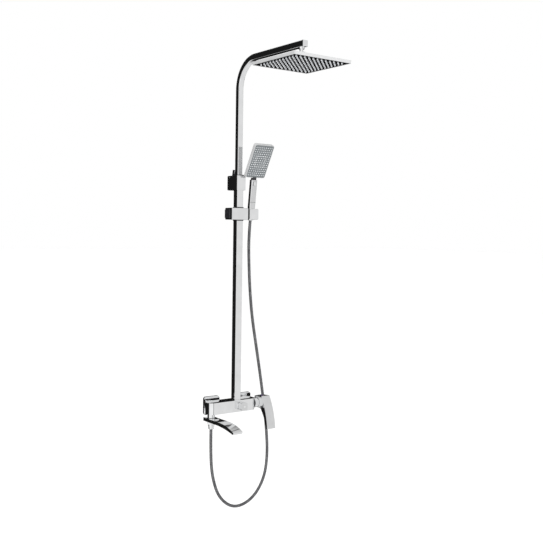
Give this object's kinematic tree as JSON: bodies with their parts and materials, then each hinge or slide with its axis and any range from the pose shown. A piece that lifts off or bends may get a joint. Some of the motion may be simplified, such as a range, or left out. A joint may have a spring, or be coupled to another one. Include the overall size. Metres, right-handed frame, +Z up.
{
  "type": "rainfall shower column",
  "caption": "Wall-mounted shower column with mixer, telescoping square riser, overhead rain head, sliding hand shower on a metal hose and swivelling bath spout.",
  "frame": {"origin": "on the wall plane, midway between the two water inlets", "axes": "+X right along the wall, +Y into the wall, +Z up along the riser"},
  "size_m": [0.3156, 0.58, 1.7886],
  "materials": {
    "chrome": "polished mirror chrome plating",
    "hose_steel": "double-lock stainless hose, polished ribs with dark grooves",
    "mirror_plate": "polished stainless face plate",
    "brass": "machined brass, partly tarnished",
    "steel": "bright stainless",
    "black_plastic": "black moulded acetal, low gloss",
    "grey_face": "silver grey satin plate",
    "silicone": "soft translucent white silicone nozzles",
    "rubber": "black fibre and rubber seals"
  },
  "bodies": {
    "root": {"mixer_body": "chrome", "wall_unions": "brass", "wall_rosettes": "chrome", "union_nuts": "chrome", "union_washers": "rubber", "riser_nipple": "brass", "lower_riser_tube": "chrome", "wall_bracket": "chrome", "bracket_wall_plate": "steel", "bracket_grub_screw": "steel", "lock_pivot_pin": "steel", "collar_ring": "black_plastic", "guide_bush": "black_plastic", "cartridge": "black_plastic", "cartridge_nut": "black_plastic", "diverter_valve": "brass", "diverter_collar": "chrome", "spout_neck": "brass", "spout_collar": "chrome", "spout_washers": "rubber", "hose_outlet": "chrome", "outlet_hose_nut": "brass", "hose_washer": "rubber", "hose": "hose_steel"},
    "upper_arm": {"upper_tube": "chrome", "tube_seal": "rubber", "arm_end_cap": "chrome", "ball_stem": "chrome"},
    "ball_seat": {"ball_seat": "black_plastic"},
    "rain_head": {"head_nut": "chrome", "rain_head_shell": "chrome", "rain_head_plate": "mirror_plate", "rain_nozzle_mat": "silicone", "head_gasket": "rubber"},
    "slider": {"slider_body": "chrome", "slider_liner": "black_plastic", "holder_pivot_pin": "steel", "button_spring": "steel"},
    "slider_button": {"slider_button": "black_plastic"},
    "holder": {"handset_holder": "chrome"},
    "handset": {"handset_grip": "chrome", "handset_neck": "black_plastic", "handset_shell": "chrome", "handset_face": "grey_face", "handset_nozzle_mat": "silicone", "hose_cone_nut": "chrome"},
    "mode_button": {"mode_button": "chrome"},
    "lever_hub": {"lever_hub": "chrome", "cartridge_stem": "steel"},
    "lever": {"lever_handle": "chrome", "lever_grub_screw": "steel", "lever_plug": "chrome"},
    "diverter_knob": {"diverter_knob": "chrome", "diverter_stem": "brass", "knob_cap": "chrome"},
    "spout": {"spout_body": "chrome", "spout_outlet_insert": "black_plastic"},
    "height_lock": {"height_lock_lever": "chrome"}
  },
  "joints": [
    {"name": "height_slide", "type": "slide", "parent": "root", "child": "upper_arm", "axis": [0, 0, 1], "range_m": [-0.15, 0.05]},
    {"name": "head_spin", "type": "hinge", "parent": "upper_arm", "child": "ball_seat", "pos_m": [0.01, -0.44, 1.318], "axis": [0, 0, 1], "continuous": true},
    {"name": "head_tilt", "type": "hinge", "parent": "ball_seat", "child": "rain_head", "pos_m": [0.01, -0.44, 1.318], "axis": [1, 0, 0], "range_deg": [-12, 12]},
    {"name": "slider_slide", "type": "slide", "parent": "root", "child": "slider", "axis": [0, 0, 1], "range_m": [-0.4, 0.06], "deforming": ["hose"]},
    {"name": "button_press", "type": "slide", "parent": "slider", "child": "slider_button", "axis": [1, 0, 0], "range_m": [0, 0.002], "stiffness_N_per_m": 800, "springref_m": -0.004, "deforming": ["button_spring"]},
    {"name": "holder_tilt", "type": "hinge", "parent": "slider", "child": "holder", "pos_m": [0.04, -0.058, 0.759], "axis": [1, 0, 0], "range_deg": [0, 12], "deforming": ["hose"]},
    {"name": "handset_lift", "type": "slide", "parent": "holder", "child": "handset", "axis": [0, -0.1219, 0.9925], "range_m": [0, 0.008], "deforming": ["hose"]},
    {"name": "mode_press", "type": "slide", "parent": "handset", "child": "mode_button", "axis": [0, 0.9925, 0.1219], "range_m": [0, 0.0008], "stiffness_N_per_m": 600, "springref_m": -0.002},
    {"name": "lever_turn", "type": "hinge", "parent": "root", "child": "lever_hub", "pos_m": [0.105, -0.052, 0], "axis": [1, 0, 0], "range_deg": [-35, 35]},
    {"name": "lever_lift", "type": "hinge", "parent": "lever_hub", "child": "lever", "pos_m": [0.105, -0.052, 0], "axis": [0, -1, 0], "range_deg": [0, 20]},
    {"name": "diverter_turn", "type": "hinge", "parent": "root", "child": "diverter_knob", "pos_m": [0.018, -0.09, 0], "axis": [0, 1, 0], "range_deg": [-90, 90]},
    {"name": "spout_swivel", "type": "hinge", "parent": "root", "child": "spout", "pos_m": [-0.105, -0.052, -0.046], "axis": [0, 0, 1], "range_deg": [-80, 80]},
    {"name": "lock_flip", "type": "hinge", "parent": "root", "child": "height_lock", "pos_m": [0.01, -0.018, 0.903], "axis": [1, 0, 0], "range_deg": [-45, 0]}
  ]
}
